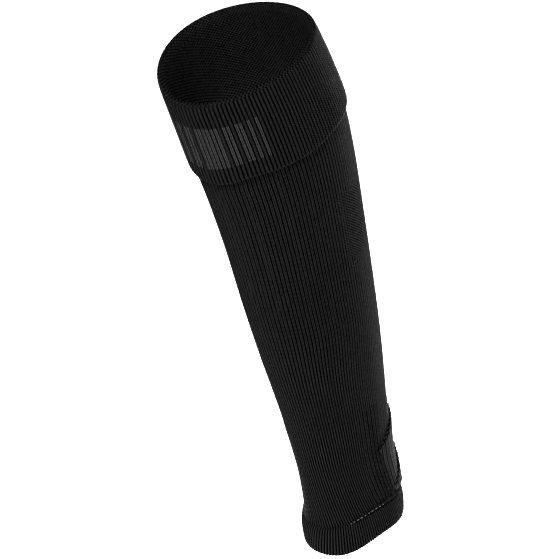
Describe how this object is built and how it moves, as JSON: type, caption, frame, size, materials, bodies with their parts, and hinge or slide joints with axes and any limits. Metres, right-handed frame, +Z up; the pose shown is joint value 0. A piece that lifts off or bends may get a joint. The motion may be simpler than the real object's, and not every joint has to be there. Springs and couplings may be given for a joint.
{
  "type": "leg sleeve",
  "caption": "Footless ribbed knitted leg sleeve in its worn form, with a turned-down cuff below the knee, a flared doubled band at the ankle and raised panels over the heel tendon.",
  "frame": {"origin": "centre of the ankle opening, where the leg passes through", "axes": "+Z up the leg from ankle to knee, -Y the shin, +Y the calf"},
  "size_m": [0.1256, 0.1204, 0.3962],
  "materials": {
    "leg_knit": "matt black rib knit",
    "cuff_knit": "matt black coarse rib knit with knitted-in grey",
    "band_knit": "matt black doubled rib knit",
    "panel_knit": "matt black raised rib knit"
  },
  "bodies": {
    "root": {"leg_tube": "leg_knit", "turned_cuff": "cuff_knit", "ankle_band": "band_knit", "tendon_panel_upper": "panel_knit", "tendon_panel_lower": "panel_knit"}
  },
  "joints": []
}
